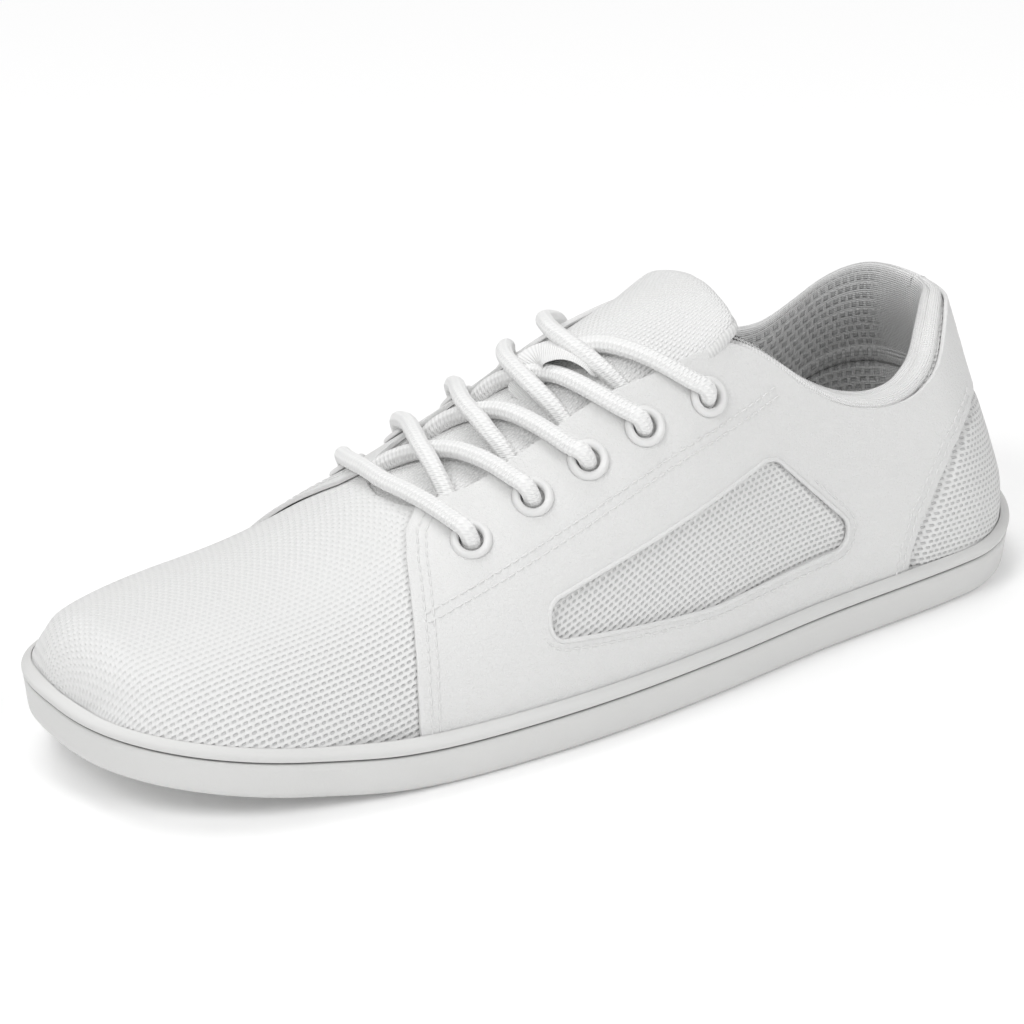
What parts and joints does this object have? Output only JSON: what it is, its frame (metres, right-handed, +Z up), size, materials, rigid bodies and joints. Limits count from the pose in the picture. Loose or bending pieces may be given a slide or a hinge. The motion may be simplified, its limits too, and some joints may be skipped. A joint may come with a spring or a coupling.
{
  "type": "shoe",
  "caption": "Low barefoot shoe for the left foot: knit upper with leather side panels, padded collar and tongue, round laces through ring eyelets, thin flexible cup sole.",
  "frame": {"origin": "middle of the sole's outline, on the floor", "axes": "+X towards the heel, +Y towards the inner (medial) side, +Z up"},
  "size_m": [0.2922, 0.1115, 0.0988],
  "materials": {
    "white_knit": "matte knit mesh",
    "white_leather": "satin, fine grain",
    "white_lining": "woven ladder mesh",
    "white_foam": "brushed cloth over foam",
    "white_rubber": "matte, fine grain",
    "white_lace": "braided cord",
    "white_ring": "satin paint"
  },
  "bodies": {
    "root": {"sole": "white_rubber", "upper": "white_knit", "tongue": "white_lining", "insole": "white_foam", "quarter_lateral": "white_leather", "quarter_medial": "white_leather", "collar_pad": "white_lining", "eyelet_lateral_1": "white_ring", "eyelet_lateral_2": "white_ring", "eyelet_lateral_3": "white_ring", "eyelet_lateral_4": "white_ring", "eyelet_lateral_5": "white_ring", "eyelet_medial_1": "white_ring", "eyelet_medial_2": "white_ring", "eyelet_medial_3": "white_ring", "eyelet_medial_4": "white_ring", "eyelet_medial_5": "white_ring", "lace_bar": "white_lace", "lace_cross_2": "white_lace", "lace_cross_3": "white_lace", "lace_cross_4": "white_lace", "lace_cross_5": "white_lace"}
  },
  "joints": []
}
